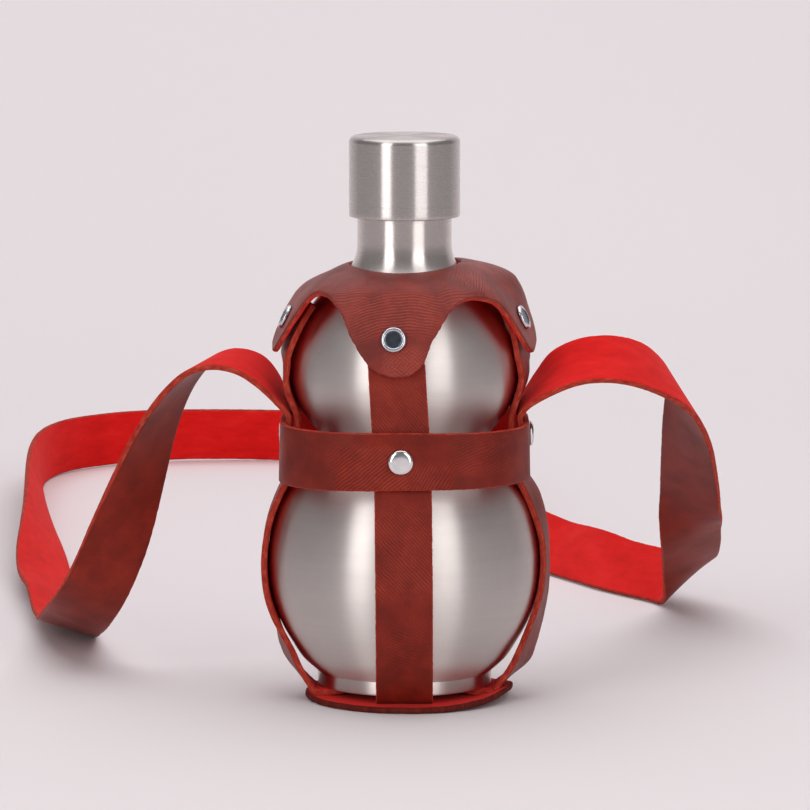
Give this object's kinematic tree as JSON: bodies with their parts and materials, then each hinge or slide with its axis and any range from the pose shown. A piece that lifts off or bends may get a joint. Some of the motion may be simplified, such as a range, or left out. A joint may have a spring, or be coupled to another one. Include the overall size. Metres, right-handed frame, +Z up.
{
  "type": "gourd water bottle",
  "caption": "Gourd-shaped steel water bottle with a screw cap, in a leather harness with snap lobes, a waist belt, a base pad and a long shoulder strap.",
  "frame": {"origin": "on the flat surface the bottle stands on, under the axis of the bottle", "axes": "+Z up along the bottle's axis, -Y the front of the harness, +X to the right seen from the front; the strap lies behind, towards +Y"},
  "size_m": [0.2619, 0.6008, 0.183],
  "materials": {
    "brushed_steel": "satin, turned",
    "liner_plastic": "moulded",
    "silicone": "soft",
    "leather": "smooth outside, red suede inside",
    "nickel": "polished nickel plate"
  },
  "bodies": {
    "root": {"lower_bulb": "brushed_steel", "upper_bulb": "brushed_steel", "base_cup": "brushed_steel", "mouth_ring": "brushed_steel", "collar": "leather", "strip_front_back": "leather", "strip_left_right": "leather", "snap_studs": "nickel", "snap_stud_backs": "nickel", "waist_belt": "leather", "belt_rivet_caps": "nickel", "belt_rivet_posts": "nickel", "base_pad": "leather", "base_rivet": "nickel", "base_rivet_cap": "nickel", "shoulder_strap": "leather"},
    "seal": {"seal_ring": "silicone"},
    "cap": {"cap_shell": "brushed_steel", "cap_liner": "liner_plastic"},
    "front_lobe": {"lobe_front": "leather", "snap_cap_front": "nickel", "snap_socket_front": "nickel"},
    "back_lobe": {"lobe_back": "leather", "snap_cap_back": "nickel", "snap_socket_back": "nickel"},
    "left_lobe": {"lobe_left": "leather", "snap_cap_left": "nickel", "snap_socket_left": "nickel"},
    "right_lobe": {"lobe_right": "leather", "snap_cap_right": "nickel", "snap_socket_right": "nickel"}
  },
  "joints": [
    {"name": "cap_rise", "type": "slide", "parent": "root", "child": "seal", "axis": [0, 0, 1], "range_m": [0, 0.0251]},
    {"name": "cap_turn", "type": "hinge", "parent": "seal", "child": "cap", "pos_m": [0, 0, 0.157], "axis": [0, 0, 1], "range_deg": [0, 1800]},
    {"name": "front_lobe_bend", "type": "hinge", "parent": "root", "child": "front_lobe", "pos_m": [-0.00231, -0.0264, 0.1414], "axis": [-0.9962, 0.0872, 0], "range_deg": [0, 70]},
    {"name": "back_lobe_bend", "type": "hinge", "parent": "root", "child": "back_lobe", "pos_m": [0.00231, 0.0264, 0.1414], "axis": [0.9962, -0.0872, 0], "range_deg": [0, 70]},
    {"name": "left_lobe_bend", "type": "hinge", "parent": "root", "child": "left_lobe", "pos_m": [-0.02624, -0.00369, 0.1414], "axis": [-0.1392, 0.9903, 0], "range_deg": [0, 70]},
    {"name": "right_lobe_bend", "type": "hinge", "parent": "root", "child": "right_lobe", "pos_m": [0.02624, -0.00369, 0.1414], "axis": [-0.1392, -0.9903, 0], "range_deg": [0, 70]}
  ],
  "couplings": [
    {"joint": "cap_rise", "follows": "cap_turn", "m_per_rad": 0.00079577}
  ]
}
